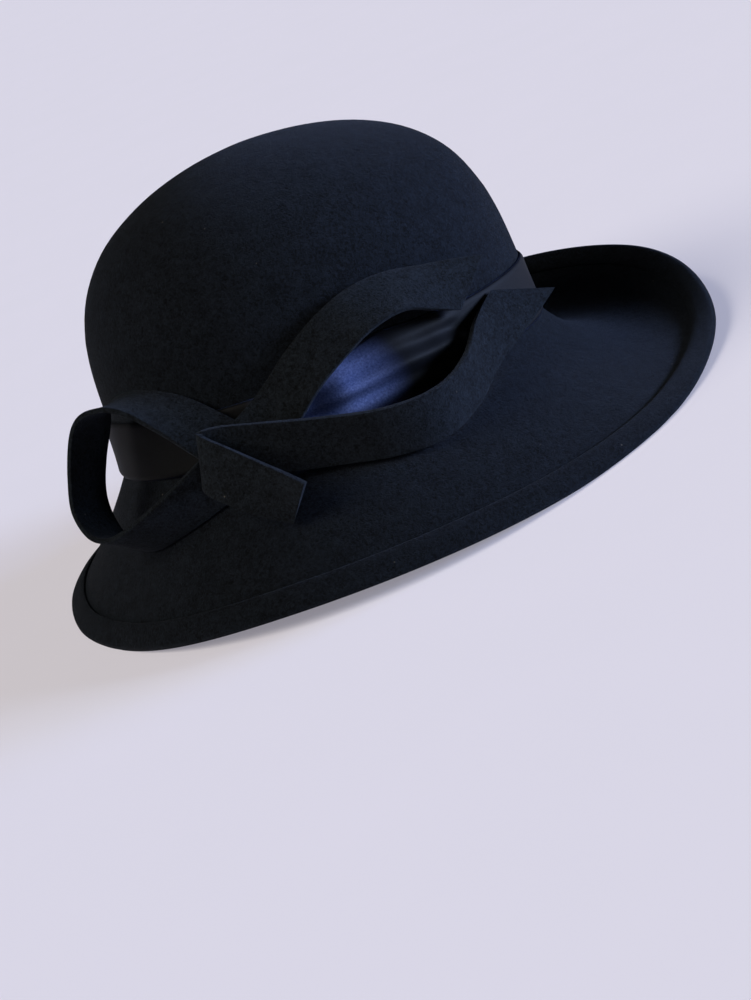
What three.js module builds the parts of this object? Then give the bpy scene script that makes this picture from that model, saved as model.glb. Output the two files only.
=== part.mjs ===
// A felt hat with a domed crown, a brim turned down at the wearer's right and back and up at the front
// left, a satin band, and two felt strips that stand on edge round the band and curl at the back right.
// Millimetres. The hat is drawn with its crown upright and then leans as it rests on its brim.
// "at" is a direction round the crown in degrees: 0 front, 90 wearer's right, 180 back, 270 left.
// "out" is a distance beyond the foot of the crown, "up" a height above it.

import * as THREE from 'three';

// Felt and satin thickness, and the play between pieces
const FELT = 2.0;
const STRIP_FELT = 2.2;
const SATIN = 1.0;
const PLAY = 0.4;

// Crown: an oval dome for a 57 cm head, with a small flare where it turns into the brim
const CROWN = { halfLength: 101, halfWidth: 86, height: 119, shoulder: 4.25, roundness: 1.89 };
const FLARE = { out: 2.7, fade: 12 };

// Brim: width of the felt from crown to edge, how steeply it falls at its root and at its edge, and how
// early its slope changes: 1 evenly, more nearer the crown
const BRIM = [
  { at: 0, width: 85, root: 63, edge: -29.5, early: 2 },
  { at: 45, width: 74.5, root: 51, edge: 10, early: 1.3 },
  { at: 90, width: 72, root: 29, edge: 53, early: 1 },
  { at: 135, width: 71, root: 31, edge: 55, early: 1 },
  { at: 180, width: 66.5, root: 55, edge: 52, early: 1 },
  { at: 225, width: 63, root: 49.5, edge: 39.5, early: 1 },
  { at: 270, width: 64, root: 38, edge: 20, early: 1 },
  { at: 315, width: 68, root: 57.5, edge: -33.5, early: 1.7 },
];

// Hem: the edge of the brim turned up and over, twice the felt with a soft round lip
const HEM = { width: 9.5, step: 1.5, rise: 2.4 };

// How the hat rests: the crown leans towards the front left, and the felt flattens where it touches
const REST = { lean: 6.3, towards: 327, flattened: 1.3 };

// Satin band: its upper edge and how far it puffs out, by direction
const BAND = { foot: 4 };
const BAND_ROWS = [
  { at: 0, top: 30, puff: 0 },
  { at: 77, top: 30, puff: 0 },
  { at: 89, top: 32, puff: 4 },
  { at: 100, top: 34, puff: 7 },
  { at: 112, top: 31, puff: 6 },
  { at: 124, top: 27, puff: 1 },
  { at: 142, top: 27, puff: 0 },
  { at: 180, top: 30, puff: 0 },
];
const BAND_FOLD = { height: 1.6, across: 2.5, pitch: 28 };

// Felt strips: a row for each bend. "lean" turns the strip's width about its own line, from straight
// out of the crown (loop strip) or straight up (curl strip). "skew" slides one edge along the other.
const STRIP_WIDTH = 22;
const LOOP_STRIP = [
  { at: 75, out: 5.5, up: 36.5, lean: 94, skew: -18 },
  { at: 85.5, out: 5, up: 42.5, lean: 120, skew: -13 },
  { at: 95, out: 6.5, up: 47.5, lean: 137, skew: -8 },
  { at: 103.5, out: 7.5, up: 47, lean: 133, skew: -5 },
  { at: 111, out: 7.5, up: 42, lean: 125, skew: -2 },
  { at: 119.5, out: 7.5, up: 33, lean: 122, skew: 1 },
  { at: 128, out: 8.5, up: 21, lean: 113, skew: 2 },
  { at: 137, out: 13, up: 10.5, lean: 88, skew: 0 },
  { at: 146, out: 19.5, up: 1.5, lean: 60, skew: -2 },
  { at: 156, out: 26, up: -7, lean: 43, skew: 0 },
  { at: 165.5, out: 29.5, up: -12.5, lean: 36, skew: 1 },
  { at: 172.5, out: 30, up: -8.5, lean: 29, skew: 0 },
  { at: 177, out: 28, up: 4.5, lean: 25, skew: -2 },
  { at: 176.5, out: 23, up: 20.5, lean: 16, skew: -1 },
  { at: 173, out: 17.5, up: 36, lean: 3, skew: 5 },
  { at: 168, out: 14, up: 42, lean: 0, skew: 11 },
  { at: 161, out: 11, up: 41, lean: -1, skew: 10 },
  { at: 151.5, out: 9.5, up: 32, lean: 18, skew: 2 },
  { at: 141.5, out: 11, up: 16, lean: 42, skew: -6 },
];
const CURL_STRIP = [
  { at: 58.5, out: 6.5, up: 22, lean: 29, skew: 27 },
  { at: 76.5, out: 8.5, up: 12.5, lean: 3, skew: 14 },
  { at: 89.5, out: 19.5, up: 3, lean: -10, skew: 5 },
  { at: 99, out: 28, up: -1, lean: -15, skew: 1 },
  { at: 108.5, out: 27, up: 0, lean: -18, skew: 1 },
  { at: 120.5, out: 20.5, up: 5, lean: -15, skew: 1 },
  { at: 132, out: 18, up: 10, lean: -8, skew: -3 },
  { at: 140, out: 20.5, up: 14, lean: -7, skew: -5 },
  { at: 143, out: 24, up: 14.5, lean: -16, skew: -7 },
  { at: 142, out: 28, up: 12.5, lean: -13, skew: -11 },
  { at: 138, out: 31.5, up: 7, lean: -12, skew: -9 },
  { at: 132.5, out: 35, up: -1.5, lean: -2, skew: -4 },
  { at: 126.5, out: 39, up: -11, lean: 17, skew: 3 },
];

// How finely each surface is stepped: rings up the straight wall, then by angle over the dome, and the
// short lengths of felt that the brim's curve is laid out in
const AROUND = 72;
const WALL_HEIGHTS = [60, 43, 28, 16, 9, 5, 2.2];
const DOME_STEPS = 9;
const DOME_SWEEP = 78;
const BRIM_STEPS = 7;
const BRIM_LENGTHS = 24;
const BRIM_FIRST_STEP = 0.3;
const LIP_STEPS = 4;
const BAND_STEPS = 6;
const STEPS_PER_BEND = 4;

// Colour and roughness of each piece
const FINISH = {
  body: { color: '#1c2026', roughness: 0.95 },
  band: { color: '#2c3a5c', roughness: 0.45 },
  loop: { color: '#20242b', roughness: 0.95 },
  curl: { color: '#16191e', roughness: 0.95 },
};

const UP = new THREE.Vector3(0, 0, 1);
const directions = Array.from({ length: AROUND }, (_, i) => (i * 360) / AROUND);
const radians = (degrees) => THREE.MathUtils.degToRad(degrees);

// A point of the oval (a, b) in a direction: a is half the length, b half the width
function ovalPoint(at, a, b, up) {
  return new THREE.Vector3(-b * Math.sin(radians(at)), -a * Math.cos(radians(at)), up);
}

// The level direction that leaves the oval square to it
function ovalNormal(at, a, b) {
  return new THREE.Vector3(-a * Math.sin(radians(at)), -b * Math.cos(radians(at)), 0).normalize();
}

// Crown wall at a height, moved in by inset; the flare spreads its foot
function crownPoint(at, up, inset = 0) {
  const height = CROWN.height - inset;
  const share = Math.min(Math.max(up / height, 0), 1);
  const narrow = Math.pow(1 - Math.pow(share, CROWN.shoulder), 1 / CROWN.roundness);
  const flare = FLARE.out * Math.exp(-up / FLARE.fade);
  const a = (CROWN.halfLength - inset) * narrow + flare;
  const b = (CROWN.halfWidth - inset) * narrow + flare;
  return ovalPoint(at, a, b, up);
}

// The foot of the crown, where the brim begins
const FOOT = { a: CROWN.halfLength + FLARE.out, b: CROWN.halfWidth + FLARE.out };

// Columns of the brim's table, eased round the whole circle
const brimColumns = (...columns) =>
  new THREE.CatmullRomCurve3(
    BRIM.map((row) => new THREE.Vector3(...columns.map((column) => row[column]))),
    true,
    'catmullrom',
  );
const brimTable = brimColumns('width', 'root', 'edge');
const brimEarly = brimColumns('early');

// A point of the brim: share runs from the crown (0) to the edge (1), raise lies square to the felt
// and beyond carries on past the edge. Short lengths of felt are laid end to end, so it keeps its width.
function brimPoint(at, share, raise, beyond = 0) {
  const { x: width, y: root, z: edge } = brimTable.getPoint(at / 360);
  const early = brimEarly.getPoint(at / 360).x;
  const slopeAt = (part) => radians(edge + (root - edge) * Math.pow(1 - part, early));
  const length = (width * share) / BRIM_LENGTHS;
  const slope = slopeAt(share);
  let along = raise * Math.sin(slope) + beyond * Math.cos(slope);
  let height = raise * Math.cos(slope) - beyond * Math.sin(slope);
  for (let step = 0; step < BRIM_LENGTHS; step += 1) {
    const part = slopeAt((share * (step + 0.5)) / BRIM_LENGTHS);
    along += length * Math.cos(part);
    height -= length * Math.sin(part);
  }
  return ovalPoint(at, FOOT.a, FOOT.b, height).addScaledVector(ovalNormal(at, FOOT.a, FOOT.b), along);
}

// A point given by direction, distance beyond the crown's foot and height
function trimPoint({ at, out, up }) {
  const foot = ovalPoint(at, FOOT.a, FOOT.b, 0);
  return foot.multiplyScalar(1 + out / foot.length()).setZ(up);
}

// A row of a table at a direction, eased between its neighbours round the whole circle
function tableAt(rows, column, at) {
  const next = rows.findIndex((row) => row.at > at);
  const high = next < 0 ? { ...rows[0], at: 360 } : rows[next];
  const low = rows[(next < 0 ? rows.length : next) - 1];
  return THREE.MathUtils.lerp(
    low[column],
    high[column],
    THREE.MathUtils.smoothstep(at, low.at, high.at),
  );
}

// Leaning on the brim: turn the crown over, drop it on the surface and flatten what would pass it
const leanAxis = new THREE.Vector3(Math.cos(radians(REST.towards)), -Math.sin(radians(REST.towards)), 0);
const leanTurn = new THREE.Quaternion().setFromAxisAngle(leanAxis, radians(REST.lean));
const brimEdge = directions.map((at) => brimPoint(at, 1, -FELT / 2, 0).applyQuaternion(leanTurn));
const lowest = Math.min(...brimEdge.map((point) => point.z));

function atRest(point) {
  const placed = point.clone().applyQuaternion(leanTurn);
  placed.z = Math.max(placed.z - lowest - REST.flattened, 0);
  return placed;
}

// A mesh from corner points and triangles
function solid(name, finish, points, triangles) {
  const geometry = new THREE.BufferGeometry().setFromPoints(points);
  geometry.setIndex(triangles);
  geometry.computeVertexNormals();
  const material = new THREE.MeshStandardMaterial({ ...finish, metalness: 0 });
  const mesh = new THREE.Mesh(geometry, material);
  mesh.name = name;
  return mesh;
}

// Triangles between closed rings of equal length, ring after ring; wrap joins the last to the first
function ringTriangles(ringCount, ringLength, wrap) {
  const triangles = [];
  const last = wrap ? ringCount : ringCount - 1;
  for (let ring = 0; ring < last; ring += 1) {
    const below = (ring + 1) % ringCount;
    for (let i = 0; i < ringLength; i += 1) {
      const j = (i + 1) % ringLength;
      const [a, b] = [ring * ringLength + i, ring * ringLength + j];
      const [c, d] = [below * ringLength + j, below * ringLength + i];
      triangles.push(a, b, c, a, c, d);
    }
  }
  return triangles;
}

// Heights of the crown's rings, from near its top down to its foot
function crownHeights(height) {
  const dome = [];
  for (let step = 1; step < DOME_STEPS; step += 1) {
    const angle = radians(90 - (DOME_SWEEP * step) / DOME_STEPS);
    dome.push(height * Math.pow(Math.sin(angle), 2 / CROWN.shoulder));
  }
  return [...dome, ...WALL_HEIGHTS];
}

// Crown and brim are one piece of felt: a profile runs from the top of the crown down its outside,
// over the brim, round the turned hem and back underneath to the top of the hollow
function hatBody() {
  const half = FELT / 2;
  const hemInner = (at) => 1 - HEM.width / brimTable.getPoint(at / 360).x;
  const stepInner = (at) => 1 - (HEM.width + HEM.step) / brimTable.getPoint(at / 360).x;
  const lipRadius = (FELT + HEM.rise) / 2;
  const lipMiddle = lipRadius - half;
  const rings = [];
  for (const up of crownHeights(CROWN.height)) {
    rings.push((at) => crownPoint(at, up));
  }
  for (let step = 0; step < BRIM_STEPS; step += 1) {
    const share = (step + BRIM_FIRST_STEP) / BRIM_STEPS;
    rings.push((at) => brimPoint(at, stepInner(at) * share, half));
  }
  rings.push((at) => brimPoint(at, stepInner(at), half));
  rings.push((at) => brimPoint(at, hemInner(at), half + HEM.rise));
  rings.push((at) => brimPoint(at, (1 + hemInner(at)) / 2, half + HEM.rise));
  for (let step = 0; step <= LIP_STEPS; step += 1) {
    const turn = radians(90 - (180 * step) / LIP_STEPS);
    const raise = lipMiddle + lipRadius * Math.sin(turn);
    rings.push((at) => brimPoint(at, 1, raise, lipRadius * Math.cos(turn)));
  }
  for (let step = BRIM_STEPS - 1; step >= 0; step -= 1) {
    const share = (step + BRIM_FIRST_STEP) / BRIM_STEPS;
    rings.push((at) => brimPoint(at, share, -half));
  }
  for (const up of crownHeights(CROWN.height - FELT).reverse()) {
    rings.push((at) => crownPoint(at, up, FELT));
  }

  const points = rings.flatMap((ring) => directions.map((at) => atRest(ring(at))));
  const triangles = ringTriangles(rings.length, AROUND, false);
  const outerTop = points.push(atRest(new THREE.Vector3(0, 0, CROWN.height))) - 1;
  const innerTop = points.push(atRest(new THREE.Vector3(0, 0, CROWN.height - FELT))) - 1;
  const lastRing = (rings.length - 1) * AROUND;
  for (let i = 0; i < AROUND; i += 1) {
    const j = (i + 1) % AROUND;
    triangles.push(outerTop, j, i);
    triangles.push(innerTop, lastRing + i, lastRing + j);
  }
  return solid('hat_body', FINISH.body, points, triangles);
}

// Satin band round the foot of the crown, puffed out and lightly folded between the two strips
function satinBand() {
  const rings = [];
  const bandPoint = (at, share, layer) => {
    const top = tableAt(BAND_ROWS, 'top', at);
    const puff = tableAt(BAND_ROWS, 'puff', at);
    const up = THREE.MathUtils.lerp(BAND.foot, top, share);
    const fold = Math.sin(2 * Math.PI * (BAND_FOLD.across * share - at / BAND_FOLD.pitch));
    const swell = Math.sin(Math.PI * share);
    const stand = PLAY + layer + (puff + Math.sign(puff) * BAND_FOLD.height * fold) * swell;
    const wall = crownPoint(at, up);
    return wall.addScaledVector(ovalNormal(at, FOOT.a, FOOT.b), Math.max(stand, PLAY + layer));
  };
  for (let step = 0; step <= BAND_STEPS; step += 1) {
    rings.push((at) => bandPoint(at, 1 - step / BAND_STEPS, SATIN));
  }
  for (let step = 0; step <= BAND_STEPS; step += 1) {
    rings.push((at) => bandPoint(at, step / BAND_STEPS, 0));
  }
  const points = rings.flatMap((ring) => directions.map((at) => atRest(ring(at))));
  return solid('satin_band', FINISH.band, points, ringTriangles(rings.length, AROUND, true));
}

// A felt strip along its table: a flat bar whose width leans as the rows say, from a base direction
function feltStrip(name, finish, rows, baseDirection) {
  const line = new THREE.CatmullRomCurve3(rows.map(trimPoint), false, 'catmullrom');
  const bends = rows.map((row) => new THREE.Vector3(row.lean, row.skew, 0));
  const bending = new THREE.CatmullRomCurve3(bends, false, 'catmullrom');
  const sectionCount = (rows.length - 1) * STEPS_PER_BEND;
  const points = [];
  for (let section = 0; section <= sectionCount; section += 1) {
    const share = section / sectionCount;
    const centre = line.getPoint(share);
    const along = line.getTangent(share);
    const base = baseDirection(centre).clone();
    base.addScaledVector(along, -base.dot(along)).normalize();
    const side = new THREE.Vector3().crossVectors(along, base);
    const { x: lean, y: skew } = bending.getPoint(share);
    const across = base.multiplyScalar(Math.cos(radians(lean)));
    across.addScaledVector(side, Math.sin(radians(lean)));
    const face = new THREE.Vector3().crossVectors(along, across);
    for (const [edge, layer] of [[1, -1], [1, 1], [-1, 1], [-1, -1]]) {
      const corner = centre.clone().addScaledVector(across, (edge * STRIP_WIDTH) / 2);
      corner.addScaledVector(along, (edge * skew) / 2);
      corner.addScaledVector(face, (layer * STRIP_FELT) / 2);
      points.push(atRest(corner));
    }
  }
  const corners = 4;
  const end = sectionCount * corners;
  const triangles = ringTriangles(sectionCount + 1, corners, false);
  triangles.push(0, 3, 2, 0, 2, 1);
  triangles.push(end, end + 1, end + 2, end, end + 2, end + 3);
  return solid(name, finish, points, triangles);
}

const outOfCrown = (point) => new THREE.Vector3(point.x, point.y, 0);
const hat = new THREE.Group();
hat.add(
  hatBody(),
  satinBand(),
  feltStrip('felt_strip_loop', FINISH.loop, LOOP_STRIP, outOfCrown),
  feltStrip('felt_strip_curl', FINISH.curl, CURL_STRIP, () => UP),
);

// The origin is the middle of the floor under the whole hat
const size = new THREE.Box3().setFromObject(hat);
const middle = size.getCenter(new THREE.Vector3());
hat.position.set(-middle.x, -middle.y, -size.min.z);

export default hat;
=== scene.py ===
# A felt hat resting on its brim, seen from the wearer's right and a little behind: the blocked felt
# body with its turned hem, the satin band, and the two felt strips that curl at the back right.
# Sizes are real millimetres and are turned to the frame's metres where a mesh is made.
# "at" is a direction round the crown in degrees: 0 front, 90 wearer's right, 180 back, 270 left.
# "out" is a distance beyond the foot of the crown, "up" a height above it.
# A "share" runs from 0 to 1 along or across a piece.

import math
from math import radians

import bmesh
import bpy
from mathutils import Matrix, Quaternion, Vector, noise


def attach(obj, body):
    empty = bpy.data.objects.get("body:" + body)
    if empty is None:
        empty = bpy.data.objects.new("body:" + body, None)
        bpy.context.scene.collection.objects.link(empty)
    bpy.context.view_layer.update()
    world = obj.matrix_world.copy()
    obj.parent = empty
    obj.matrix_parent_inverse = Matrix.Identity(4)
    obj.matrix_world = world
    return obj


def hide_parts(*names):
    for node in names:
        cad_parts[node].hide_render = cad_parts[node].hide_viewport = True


# Colours are shown as they are mixed
bpy.context.scene.view_settings.view_transform = "Standard"
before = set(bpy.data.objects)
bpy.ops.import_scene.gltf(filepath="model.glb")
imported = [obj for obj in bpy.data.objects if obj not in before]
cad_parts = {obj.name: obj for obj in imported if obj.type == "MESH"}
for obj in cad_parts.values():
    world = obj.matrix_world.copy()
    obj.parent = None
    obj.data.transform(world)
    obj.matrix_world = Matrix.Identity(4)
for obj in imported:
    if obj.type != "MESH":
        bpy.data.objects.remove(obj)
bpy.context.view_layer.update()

MM = 0.001
UP = Vector((0, 0, 1))

# Thickness of the felts and the satin, and the play between pieces
FELT = 2.0
STRIP_FELT = 2.2
SATIN = 0.3
PLAY = 0.4

# Crown and brim, as in the frame. The brim is worked out in short lengths from its root to its edge,
# and its slopes are degrees below level.
CROWN = {"half_length": 101, "half_width": 86, "height": 119, "shoulder": 4.25, "roundness": 1.89}
FLARE = {"out": 2.7, "fade": 12}
FOOT = (CROWN["half_length"] + FLARE["out"], CROWN["half_width"] + FLARE["out"])
BRIM = [  # at, width, slope at the root, slope at the edge, how early the slope changes
    (0, 85, 63, -29.5, 2),
    (45, 74.5, 51, 10, 1.3),
    (90, 72, 29, 53, 1),
    (135, 71, 31, 55, 1),
    (180, 66.5, 55, 52, 1),
    (225, 63, 49.5, 39.5, 1),
    (270, 64, 38, 20, 1),
    (315, 68, 57.5, -33.5, 1.7),
]
BRIM_LENGTHS = 24

# Hem: how wide the flap is that is turned up and over the edge, and how far it stands off the brim
HEM = {"width": 9.5, "rise": 2.4}

# How the hat rests: how far it leans and where to, how far the felt presses flat, and where it lies.
# Its lowest point is looked for along the rim, every few degrees.
REST = {"lean": 6.3, "towards": 327, "flattened": 1.3, "shift": Vector((1.499, 14.683, 0))}
RIM_STEP = 5

# The body's rings of points, from the crown's top to the cut edge of the hem. The dome's rings turn
# down from its top in equal steps, the last of which gives way to set heights down the wall. The
# brim's first ring lies closer to the crown than the brim's rings lie to each other. The hem folds
# over in half a turn, from under the edge to above it.
RING_POINTS = 120
DOME = {"turn": 80, "steps": 15}
WALL_HEIGHTS = [62, 54, 46, 38, 31, 24.5, 18.5, 13, 9, 6, 3.6, 1.8]
BRIM_RINGS = {"count": 16, "first": 0.7}
FOLD_TURNS = [-90, -60, -30, 0, 30, 60, 90]
HEM_TAPER = [  # share of the flap's width, share of its rise
    (0.25, 1),
    (0.5, 0.98),
    (0.72, 0.9),
    (0.88, 0.75),
    (1, 0.5),
]

# The open ring at the crown's top is told from the hem's by its height: no part of it lies further
# than this below the highest open edge
TOP_RING_DROP = 20

# Hand-blocked felt is never quite even: the width of its swells and their height. They push each
# point away from a place on the crown's axis, this far below it.
SWELLS = [(46, 0.7), (15, 0.22)]
SWELL_ORIGIN = 40

# Satin band: its foot, its face, its folds and how many lie across it between the strips, and the
# slight pull all round it, with how quickly that changes round the band and across it
BAND_FOOT = 4
BAND_FACE = 26
BAND_ROWS = [  # at, top edge, puff
    (0, 30, 0),
    (77, 30, 0),
    (89, 32, 4),
    (100, 34, 7),
    (112, 31, 6),
    (124, 27, 1),
    (142, 27, 0),
    (180, 30, 0),
    (360, 30, 0),
]
BAND_FOLD = {"height": 1.6, "across": 2.5, "turned_in": 6}
BAND_PULL = {"height": 0.25, "round": 6.4, "across": 2.2}

# How far off the crown the turned-in edges lie, how much further off the face lies, and the share of
# the face over which it rounds down to its edge. The band's two ends meet in a seam and are joined.
BAND_LAYERS = {"behind": 0.3, "face": 0.75, "rounded": 0.06}
BAND_GRID = {"round": 300, "across": 44}
BAND_SEAM = 0.02

# Centre of the painted blue light on the band, where it is drawn out in folds between the strips: its
# direction, and its share of the face
PAINTED_LIGHT_CENTRE = (117, 0.33)

# Felt strips: at, out, up, lean of the width in degrees, skew of one edge along the other
STRIP_WIDTH = 22
LOOP_STRIP = [
    (75, 5.5, 36.5, 94, -18),
    (85.5, 5, 42.5, 120, -13),
    (95, 6.5, 47.5, 137, -8),
    (103.5, 7.5, 47, 133, -5),
    (111, 7.5, 42, 125, -2),
    (119.5, 7.5, 33, 122, 1),
    (128, 8.5, 21, 113, 2),
    (137, 13, 10.5, 88, 0),
    (146, 19.5, 1.5, 60, -2),
    (156, 26, -7, 43, 0),
    (165.5, 29.5, -12.5, 36, 1),
    (172.5, 30, -8.5, 29, 0),
    (177, 28, 4.5, 25, -2),
    (176.5, 23, 20.5, 16, -1),
    (173, 17.5, 36, 3, 5),
    (168, 14, 42, 0, 11),
    (161, 11, 41, -1, 10),
    (151.5, 9.5, 32, 18, 2),
    (141.5, 11, 16, 42, -6),
]
CURL_STRIP = [
    (58.5, 6.5, 22, 29, 27),
    (76.5, 8.5, 12.5, 3, 14),
    (89.5, 19.5, 3, -10, 5),
    (99, 28, -1, -15, 1),
    (108.5, 27, 0, -18, 1),
    (120.5, 20.5, 5, -15, 1),
    (132, 18, 10, -8, -3),
    (140, 20.5, 14, -7, -5),
    (143, 24, 14.5, -16, -7),
    (142, 28, 12.5, -13, -11),
    (138, 31.5, 7, -12, -9),
    (132.5, 35, -1.5, -2, -4),
    (126.5, 39, -11, 17, 3),
]
STRIP_GRID = {"between_rows": 12, "across": 10}

# The share of a strip's length looked ahead and behind to find which way it runs
STRIP_LOOK_AHEAD = 0.0001

# The strips' cut edges are very slightly rounded, where the felt turns by more than these degrees
STRIP_EDGE = {"width": 0.35, "segments": 2, "sharper_than": 50}

# Camera, in metres: its place, what it looks at, its roll in degrees and its lens
CAMERA = {
    "at": Vector((-0.8493, 0.4633, 0.3179)),
    "looks_at": Vector((-0.0115, 0.0251, -0.0076)),
    "roll": -23.8,
    "lens": 80.53,
}

# Floor, in metres: its width, and how far it lies below the hat
FLOOR = {"width": 28.0, "below": 0.0002}

# Lights: azimuth and elevation of where each shines from, how wide it is in degrees, its strength and
# colour. Cool daylight falls low from the front right, and a warmer lamp stands behind.
LIGHTS = [
    ("window_low", 336, 5, 20, 5.2, "#a4beff"),
    ("window_side", 319, 6, 20, 6.4, "#cadeff"),
    ("lamp_behind", 180, 40, 34, 2.8, "#fff9e8"),
]
ROOM_LIGHT = {"colour": "#dfe2f0", "strength": 0.09}


# Points of the crown and brim, crown upright

def oval_point(at, a, b, up):
    return Vector((-b * math.sin(radians(at)), -a * math.cos(radians(at)), up))


def oval_normal(at, a, b):
    return Vector((-a * math.sin(radians(at)), -b * math.cos(radians(at)), 0)).normalized()


def crown_point(at, up, inset=0.0):
    """A point of the crown's outside, or of a surface inset from it."""
    height = CROWN["height"] - inset
    share = min(max(up / height, 0), 1)
    narrow = (1 - share ** CROWN["shoulder"]) ** (1 / CROWN["roundness"])
    flare = FLARE["out"] * math.exp(-up / FLARE["fade"])
    a = (CROWN["half_length"] - inset) * narrow + flare
    b = (CROWN["half_width"] - inset) * narrow + flare
    return oval_point(at, a, b, up)


def eased(before, start, end, after, share):
    """A value between start and end on the smooth curve through four values of a table."""
    leave = (end - before) / 2
    arrive = (after - start) / 2
    bend = -3 * start + 3 * end - 2 * leave - arrive
    twist = 2 * start - 2 * end + leave + arrive
    return start + leave * share + bend * share ** 2 + twist * share ** 3


def along_table(rows, share, closed):
    """The row at a share of the way through a table, every column eased between its neighbours. A
    closed table runs round the hat, and its last row leads back to its first."""
    count = len(rows)
    place = share * (count if closed else count - 1)
    index = min(int(place), count - 1 if closed else count - 2)
    if closed:
        around = [rows[(index + step) % count] for step in (-1, 0, 1, 2)]
    else:
        first = [2 * p - q for p, q in zip(rows[0], rows[1])]
        last = [2 * p - q for p, q in zip(rows[-1], rows[-2])]
        longer = [first, *rows, last]
        around = longer[index:index + 4]
    return [eased(*column, place - index) for column in zip(*around)]


BRIM_SLOPES = [row[1:] for row in BRIM]


def brim_row(at):
    return along_table(BRIM_SLOPES, (at % 360) / 360, True)


def brim_point(at, share, raised, beyond=0.0):
    """A point of the brim, raised off its felt or set beyond its edge. Short lengths of felt are laid
    end to end from the crown outwards, so the brim keeps its width."""
    width, root, edge, early = brim_row(at)

    def slope_at(part):
        return radians(edge + (root - edge) * (1 - part) ** early)

    length = width * share / BRIM_LENGTHS
    slope = slope_at(share)
    along = raised * math.sin(slope) + beyond * math.cos(slope)
    up = raised * math.cos(slope) - beyond * math.sin(slope)
    for step in range(BRIM_LENGTHS):
        middle_slope = slope_at(share * (step + 0.5) / BRIM_LENGTHS)
        along += length * math.cos(middle_slope)
        up -= length * math.sin(middle_slope)
    return oval_point(at, *FOOT, up) + oval_normal(at, *FOOT) * along


def hem_point(at, share, raised):
    """The flap of the hem, from the folded edge to its cut edge."""
    width = brim_row(at)[0]
    return brim_point(at, 1 - share * HEM["width"] / width, raised)


LEAN_AXIS = Vector((math.cos(radians(REST["towards"])), -math.sin(radians(REST["towards"])), 0))
LEAN = Quaternion(LEAN_AXIS, radians(REST["lean"]))
LOWEST = min((LEAN @ brim_point(at, 1, -FELT / 2)).z for at in range(0, 360, RIM_STEP))


def at_rest(point):
    """The hat leaned onto its brim, in metres."""
    placed = LEAN @ point
    placed.z -= LOWEST + REST["flattened"]
    return (placed + REST["shift"]) * MM


def flatten_on_floor(piece):
    """Felt that would pass the floor is pressed flat on it."""
    for vertex in piece.data.vertices:
        vertex.co.z = max(vertex.co.z, 0)


# Modelling helpers

def deselect():
    if bpy.context.object and bpy.context.object.mode != "OBJECT":
        bpy.ops.object.mode_set(mode="OBJECT")
    bpy.ops.object.select_all(action="DESELECT")


def finish_piece(piece, name, *modifiers):
    """Names the piece, adds its finishing modifiers in order and applies them."""
    piece.name = piece.data.name = name
    for kind, settings in modifiers:
        modifier = piece.modifiers.new(kind.lower(), kind)
        for setting, value in settings.items():
            setattr(modifier, setting, value)
        bpy.ops.object.modifier_apply(modifier=modifier.name)
    bpy.ops.object.shade_smooth()
    return piece


def extruded_rings(rings, around):
    """A circle of points extruded ring after ring, each ring set where its function says."""
    deselect()
    bpy.ops.mesh.primitive_circle_add(vertices=around, radius=1)
    piece = bpy.context.object
    bpy.ops.object.mode_set(mode="EDIT")
    mesh = bmesh.from_edit_mesh(piece.data)
    direction = mesh.verts.layers.float.new("direction")
    mesh.verts.ensure_lookup_table()
    for index, vertex in enumerate(mesh.verts):
        vertex[direction] = index * 360 / around
    bpy.ops.mesh.select_all(action="SELECT")
    for number, ring in enumerate(rings):
        if number:
            bpy.ops.mesh.extrude_region_move()
        mesh = bmesh.from_edit_mesh(piece.data)
        direction = mesh.verts.layers.float["direction"]
        for vertex in mesh.verts:
            if vertex.select:
                vertex.co = ring(vertex[direction])
        bmesh.update_edit_mesh(piece.data)
    return piece


def bent_grid(columns, rows, place):
    """A flat cut piece as a grid, each point of which is then bent to its place on the hat. The grid
    is added one unit wide round the origin, and half a unit is added to give shares of it."""
    deselect()
    bpy.ops.mesh.primitive_grid_add(x_subdivisions=columns, y_subdivisions=rows, size=1)
    piece = bpy.context.object
    bpy.ops.object.mode_set(mode="EDIT")
    mesh = bmesh.from_edit_mesh(piece.data)
    for vertex in mesh.verts:
        vertex.co = place(vertex.co.x + 0.5, vertex.co.y + 0.5)
    bmesh.update_edit_mesh(piece.data)
    return piece


# Hat body

def softened(point):
    """A point of the felt with the slight rise and fall of hand blocking, placed at rest."""
    outward = Vector((point.x, point.y, SWELL_ORIGIN)).normalized()
    for width, height in SWELLS:
        point = point + outward * (height * noise.noise(point / width))
    return at_rest(point)


def body_rings():
    """The rings of the felt's middle: crown from its top down, brim, and the hem up and over."""
    middle = FELT / 2
    heights = []
    for step in range(1, DOME["steps"]):
        angle = radians(90 - DOME["turn"] * step / DOME["steps"])
        heights.append((CROWN["height"] - middle) * math.sin(angle) ** (2 / CROWN["shoulder"]))
    rings = []
    for up in heights + WALL_HEIGHTS:
        rings.append(lambda at, up=up: crown_point(at, up, middle))
    for step in range(BRIM_RINGS["count"]):
        share = (step + BRIM_RINGS["first"]) / (BRIM_RINGS["count"] + BRIM_RINGS["first"])
        rings.append(lambda at, share=share: brim_point(at, share, 0))
    fold = HEM["rise"] / 2
    for turn in FOLD_TURNS:
        raised = fold + fold * math.sin(radians(turn))
        beyond = fold * math.cos(radians(turn))
        rings.append(lambda at, r=raised, b=beyond: brim_point(at, 1, r, b))
    for share, rise in HEM_TAPER:
        rings.append(lambda at, s=share, r=rise: hem_point(at, s, r * HEM["rise"]))
    return [lambda at, ring=ring: softened(ring(at)) for ring in rings]


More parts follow.
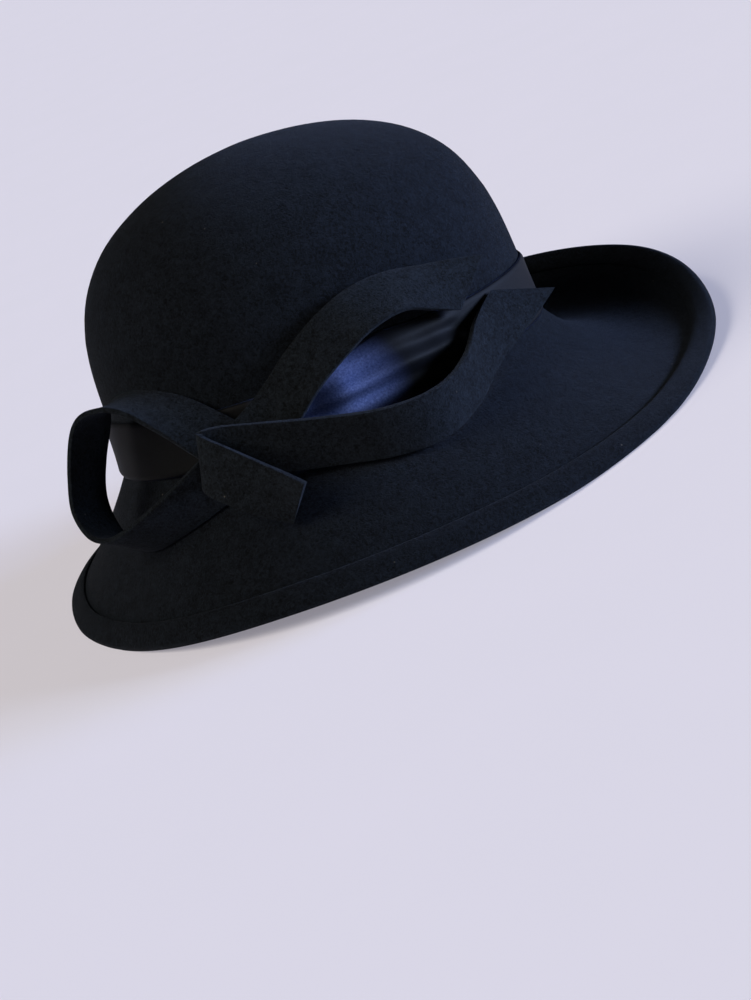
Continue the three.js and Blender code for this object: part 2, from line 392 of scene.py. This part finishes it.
def close_crown(body):
    """The open ring at the crown's top is drawn in to one point."""
    bpy.ops.mesh.select_all(action="DESELECT")
    mesh = bmesh.from_edit_mesh(body.data)
    open_edges = [edge for edge in mesh.edges if edge.is_boundary]
    highest = max(edge.verts[0].co.z for edge in open_edges)
    for edge in open_edges:
        edge.select = edge.verts[0].co.z > highest - TOP_RING_DROP * MM
    bmesh.update_edit_mesh(body.data)
    bpy.ops.mesh.extrude_region_move()
    bpy.ops.mesh.merge(type="CENTER")
    mesh = bmesh.from_edit_mesh(body.data)
    for vertex in mesh.verts:
        if vertex.select:
            vertex.co = at_rest(Vector((0, 0, CROWN["height"] - FELT / 2)))
    bmesh.update_edit_mesh(body.data)


def make_body():
    """One piece of felt, thickened round its middle and smoothed."""
    body = extruded_rings(body_rings(), RING_POINTS)
    close_crown(body)
    bpy.ops.mesh.select_all(action="SELECT")
    bpy.ops.mesh.normals_make_consistent(inside=False)
    bpy.ops.object.mode_set(mode="OBJECT")
    return finish_piece(
        body,
        "felt_hat_body",
        ("SOLIDIFY", {"thickness": FELT * MM, "offset": 0, "use_even_offset": True}),
        ("SUBSURF", {"levels": 1, "render_levels": 1}),
    )


# Satin band

def stepped(rows, column, at):
    """A column of a table of directions, eased from one row to the next."""
    at = at % 360
    for low, high in zip(rows, rows[1:]):
        if low[0] <= at <= high[0]:
            share = (at - low[0]) / (high[0] - low[0])
            share = share * share * (3 - 2 * share)
            return low[column] + (high[column] - low[column]) * share
    return rows[-1][column]


def band_point(at, share, layer):
    """A point of the band, on the layer that lies this far off the crown. Where the band puffs out,
    folds run along it, and all round it is lifted by its pull, so that it stays off the crown."""
    top = stepped(BAND_ROWS, 1, at)
    puff = stepped(BAND_ROWS, 2, at)
    up = BAND_FOOT + (top - BAND_FOOT) * share
    swell = math.sin(math.pi * min(max(share, 0), 1))
    fold = math.sin(2 * math.pi * BAND_FOLD["across"] * share)
    strain = min(puff, 1)
    stand = (puff + strain * BAND_FOLD["height"] * fold) * swell
    outward = oval_normal(at, *FOOT)
    pull = noise.noise(outward * BAND_PULL["round"] + UP * share * BAND_PULL["across"])
    lift = BAND_PULL["height"] * (1 + pull * swell)
    return crown_point(at, up) + outward * (PLAY + layer + max(stand, 0) + lift)


def make_band():
    """The satin ribbon with its two long edges turned in behind it."""
    turned_in = BAND_FOLD["turned_in"] / BAND_FACE

    def place(round_share, across_share):
        share = (across_share - 0.5) * (1 + 2 * turned_in) + 0.5
        layer = BAND_LAYERS["behind"]
        from_edge = min(share, 1 - share)
        if from_edge >= 0:
            layer += BAND_LAYERS["face"] * min(from_edge / BAND_LAYERS["rounded"], 1)
        elif share < 0:
            share = -share
        else:
            share = 2 - share
        return at_rest(band_point(360 * round_share, share, layer))

    band = bent_grid(BAND_GRID["round"], BAND_GRID["across"], place)
    bpy.ops.mesh.select_all(action="SELECT")
    bpy.ops.mesh.remove_doubles(threshold=BAND_SEAM * MM)
    bpy.ops.mesh.normals_make_consistent(inside=False)
    bpy.ops.object.mode_set(mode="OBJECT")
    return finish_piece(
        band,
        "satin_hat_band",
        ("SOLIDIFY", {"thickness": SATIN * MM, "offset": 0}),
    )


# Felt strips

def strip_middle(row):
    """The middle of a strip at a row of its table, crown upright."""
    at, out, up = row[:3]
    foot = oval_point(at, *FOOT, 0)
    place = foot * (1 + out / foot.length)
    place.z = up
    return place


def out_of_crown(point):
    return Vector((point.x, point.y, 0))


def upright(point):
    return UP.copy()


def make_strip(name, rows, base_direction):
    """A strip cut from felt, bent along its table. Its width starts in the base direction, and is
    turned about the strip's own line as the rows say. Its rim takes the material of the cut edges,
    painted pale as a highlight where they catch the light."""
    points = [strip_middle(row) for row in rows]
    bends = [row[3:] for row in rows]

    def centre(share):
        return Vector(along_table(points, min(max(share, 0), 1), False))

    def place(along_share, across_share):
        middle = centre(along_share)
        ahead = centre(along_share + STRIP_LOOK_AHEAD)
        behind = centre(along_share - STRIP_LOOK_AHEAD)
        along = (ahead - behind).normalized()
        base = base_direction(middle)
        base = (base - along * base.dot(along)).normalized()
        side = along.cross(base)
        lean, skew = along_table(bends, along_share, False)
        across = base * math.cos(radians(lean)) + side * math.sin(radians(lean))
        edge = across_share * 2 - 1
        return at_rest(middle + across * edge * STRIP_WIDTH / 2 + along * edge * skew / 2)

    columns = (len(rows) - 1) * STRIP_GRID["between_rows"]
    strip = bent_grid(columns, STRIP_GRID["across"], place)
    bpy.ops.object.mode_set(mode="OBJECT")
    return finish_piece(
        strip,
        name,
        ("SOLIDIFY", {"thickness": STRIP_FELT * MM, "offset": 0, "material_offset_rim": 1}),
        ("BEVEL", {
            "width": STRIP_EDGE["width"] * MM,
            "segments": STRIP_EDGE["segments"],
            "angle_limit": radians(STRIP_EDGE["sharper_than"]),
        }),
    )


# Materials

def linear(code):
    """An sRGB hex colour as linear red, green, blue and alpha, by the standard's own curve."""
    parts = [int(code[i:i + 2], 16) / 255 for i in (1, 3, 5)]
    return [c / 12.92 if c <= 0.04045 else ((c + 0.055) / 1.055) ** 2.4 for c in parts] + [1]


def add(tree, kind, settings=None, **links):
    """Adds a node, with its settings, and links or sets its inputs. An input is named, or given by its
    number where a node has several of one name. A Mix node's share is _0. Its two numbers are _2 and
    _3 and come out at 0, and its two colours are _6 and _7 and come out at 2. What a Math or Vector
    Math node works on is _0 and _1."""
    node = tree.nodes.new(kind)
    for setting, value in (settings or {}).items():
        setattr(node, setting, value)
    for name, value in links.items():
        socket = node.inputs[int(name[1:])] if name[0] == "_" else node.inputs[name.replace("_", " ")]
        if isinstance(value, bpy.types.NodeSocket):
            tree.links.new(value, socket)
        else:
            socket.default_value = value
    return node


def new_material(name):
    material = bpy.data.materials.new(name)
    material.use_nodes = True
    tree = material.node_tree
    shader = tree.nodes["Principled BSDF"]
    place = add(tree, "ShaderNodeTexCoord").outputs["Object"]
    return material, tree, shader, place


def per_mm(size):
    """The scale that makes a pattern's cells this many millimetres wide, on Object coordinates."""
    return 1 / (size * MM)


def wool_felt(name, deep, fibre, lint):
    """Blocked wool felt: matted short fibres that catch the light one by one over a deep ground, with
    broader matting, a faint bloom where the nap stands up, and here and there a caught speck of lint.
    Single fibres are too fine to show, so the tangle is drawn as tufts of fibres 1.3 mm wide."""
    material, tree, shader, place = new_material(name)
    tangle = add(tree, "ShaderNodeTexNoise", Vector=place, Scale=per_mm(1.3), Detail=5, Roughness=0.75,
                 Distortion=1.2)
    matting = add(tree, "ShaderNodeTexNoise", Vector=place, Scale=per_mm(6), Detail=3, Roughness=0.6)
    both = add(tree, "ShaderNodeMix", {"data_type": "FLOAT"}, _0=0.16,
               _2=tangle.outputs["Fac"], _3=matting.outputs["Fac"])
    spread = add(tree, "ShaderNodeMapRange", Value=both.outputs[0], From_Min=0.42, From_Max=0.6)
    felt = add(tree, "ShaderNodeMix", {"data_type": "RGBA"}, _0=spread.outputs[0],
               _6=linear(deep), _7=linear(fibre))

    # Lint: a tiny speck in the middle of one in five cells of 7.5 mm
    speck = add(tree, "ShaderNodeTexVoronoi", Vector=place, Scale=per_mm(7.5))
    tiny = add(tree, "ShaderNodeMapRange", Value=speck.outputs["Distance"],
               From_Min=0.02, From_Max=0.06, To_Min=1, To_Max=0)
    cell = add(tree, "ShaderNodeSeparateColor", Color=speck.outputs["Color"])
    rare = add(tree, "ShaderNodeMath", {"operation": "GREATER_THAN"}, _0=cell.outputs[0], _1=0.8)
    here = add(tree, "ShaderNodeMath", {"operation": "MULTIPLY"},
               _0=tiny.outputs[0], _1=rare.outputs[0])
    flecked = add(tree, "ShaderNodeMix", {"data_type": "RGBA"}, _0=here.outputs[0],
                  _6=felt.outputs[2], _7=linear(lint))
    tree.links.new(flecked.outputs[2], shader.inputs["Base Color"])

    fine = add(tree, "ShaderNodeBump", Strength=1.0, Distance=0.55 * MM, Height=tangle.outputs["Fac"])
    broad = add(tree, "ShaderNodeBump", Strength=0.5, Distance=0.5 * MM,
                Height=matting.outputs["Fac"], Normal=fine.outputs[0])
    tree.links.new(broad.outputs[0], shader.inputs["Normal"])
    shader.inputs["Roughness"].default_value = 0.95
    shader.inputs["Specular IOR Level"].default_value = 0.06
    shader.inputs["Sheen Weight"].default_value = 0.05
    shader.inputs["Sheen Roughness"].default_value = 0.4
    shader.inputs["Sheen Tint"].default_value = linear("#aab4d0")
    return material


def dark_satin(lit_centre):
    """Woven satin, near black along the ribbon. Where it is drawn out in folds between the strips,
    round the given point, it is painted a lighter clear blue: painted light, the blue light that these
    folds catch. Its thread is too fine to show, so it is drawn as a faint unevenness 0.9 mm wide."""
    material, tree, shader, place = new_material("satin, near black, painted blue light, woven")
    thread = add(tree, "ShaderNodeTexNoise", Vector=place, Scale=per_mm(0.9), Detail=4, Roughness=0.7)
    tone = add(tree, "ShaderNodeMapRange", Value=thread.outputs["Fac"], From_Min=0.3, From_Max=0.7)
    ribbon = add(tree, "ShaderNodeMix", {"data_type": "RGBA"}, _0=tone.outputs[0],
                 _6=linear("#050507"), _7=linear("#0a0b0e"))
    # Painted light: the folds get a lighter clear blue for the blue light they catch, fading to the
    # near black ribbon from 10 to 37 mm off the centre
    folds = add(tree, "ShaderNodeMix", {"data_type": "RGBA"}, _0=tone.outputs[0],
                _6=linear("#37426a"), _7=linear("#616e9c"))
    away = add(tree, "ShaderNodeVectorMath", {"operation": "DISTANCE"}, _0=place, _1=lit_centre)
    blue = add(tree, "ShaderNodeMapRange", {"interpolation_type": "SMOOTHSTEP"},
               Value=away.outputs["Value"], From_Min=10 * MM, From_Max=37 * MM, To_Min=1, To_Max=0)
    colour = add(tree, "ShaderNodeMix", {"data_type": "RGBA"}, _0=blue.outputs[0],
                 _6=ribbon.outputs[2], _7=folds.outputs[2])
    tree.links.new(colour.outputs[2], shader.inputs["Base Color"])
    fine = add(tree, "ShaderNodeBump", Strength=0.5, Distance=0.12 * MM, Height=thread.outputs["Fac"])
    tree.links.new(fine.outputs[0], shader.inputs["Normal"])
    shader.inputs["Roughness"].default_value = 0.65
    shader.inputs["Metallic"].default_value = 0.1
    shader.inputs["Specular IOR Level"].default_value = 0.07
    shader.inputs["Sheen Weight"].default_value = 0.03
    shader.inputs["Sheen Roughness"].default_value = 0.3
    shader.inputs["Sheen Tint"].default_value = linear("#7c93d8")
    return material


def pale_floor():
    """A matt pale table top, softly lit from within: the plain ground that the hat rests on."""
    material, tree, shader, place = new_material("matt pale table top, lit from within")
    grain = add(tree, "ShaderNodeTexNoise", Vector=place, Scale=per_mm(60), Detail=3)
    colour = add(tree, "ShaderNodeMix", {"data_type": "RGBA"}, _0=grain.outputs["Fac"],
                 _6=linear("#c0bdc5"), _7=linear("#c3bfc8"))
    tree.links.new(colour.outputs[2], shader.inputs["Base Color"])
    shader.inputs["Roughness"].default_value = 0.9
    shader.inputs["Specular IOR Level"].default_value = 0.1
    shader.inputs["Emission Color"].default_value = linear("#ebe6f4")
    shader.inputs["Emission Strength"].default_value = 0.3
    return material


# The room: floor, lights and camera

def make_floor():
    deselect()
    bpy.ops.mesh.primitive_plane_add(size=FLOOR["width"], location=(0, 0, -FLOOR["below"]))
    floor = bpy.context.object
    floor.name = "floor"
    floor.data.materials.append(pale_floor())


def towards_lamp(azimuth, elevation):
    """The direction from the hat to a lamp. Azimuth 0 is before the hat, 270 at the wearer's right."""
    flat = math.cos(radians(elevation))
    side = math.sin(radians(azimuth)) * flat
    back = -math.cos(radians(azimuth)) * flat
    return Vector((side, back, math.sin(radians(elevation))))


def make_lights():
    for name, azimuth, elevation, spread, strength, colour in LIGHTS:
        lamp = bpy.data.lights.new(name, "SUN")
        lamp.angle = radians(spread)
        lamp.energy = strength
        lamp.color = linear(colour)[:3]
        light = bpy.data.objects.new(name, lamp)
        towards = towards_lamp(azimuth, elevation)
        light.location = towards
        light.rotation_euler = towards.to_track_quat("Z", "Y").to_euler()
        bpy.context.scene.collection.objects.link(light)
    world = bpy.data.worlds.new("room")
    bpy.context.scene.world = world
    world.use_nodes = True
    background = world.node_tree.nodes["Background"]
    background.inputs["Color"].default_value = linear(ROOM_LIGHT["colour"])
    background.inputs["Strength"].default_value = ROOM_LIGHT["strength"]


def make_camera():
    lens = bpy.data.cameras.new("camera")
    lens.lens = CAMERA["lens"]
    camera = bpy.data.objects.new("camera", lens)
    bpy.context.scene.collection.objects.link(camera)
    look = CAMERA["looks_at"] - CAMERA["at"]
    turn = look.to_track_quat("-Z", "Y") @ Quaternion((0, 0, 1), radians(CAMERA["roll"]))
    camera.rotation_mode = "QUATERNION"
    camera.location = CAMERA["at"]
    camera.rotation_quaternion = turn
    bpy.context.scene.camera = camera


# Making the hat

make_floor()
make_lights()
make_camera()

# The cut edges of the strips are painted pale: a painted highlight where the edges catch the light
body_felt = wool_felt("wool felt, blocked, near-black navy", "#030406", "#12161c", "#4a4642")
strip_felt = wool_felt("wool felt, cut strip", "#040506", "#171b20", "#4a4642")
edge_highlight_felt = wool_felt("wool felt, cut edge, painted highlight", "#3c4147", "#6c7279", "#6a665f")

body = make_body()
flatten_on_floor(body)
body.data.materials.append(body_felt)
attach(body, "root")
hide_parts("hat_body")

band = make_band()
# The satin's painted blue light is centred on the folds drawn out between the strips
band.data.materials.append(dark_satin(at_rest(band_point(*PAINTED_LIGHT_CENTRE, 0))))
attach(band, "root")
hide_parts("satin_band")

for name, rows, base_direction, node in (
    ("felt_strip_with_loop", LOOP_STRIP, out_of_crown, "felt_strip_loop"),
    ("felt_strip_with_curl", CURL_STRIP, upright, "felt_strip_curl"),
):
    strip = make_strip(name, rows, base_direction)
    strip.data.materials.append(strip_felt)
    strip.data.materials.append(edge_highlight_felt)
    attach(strip, "root")
    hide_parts(node)
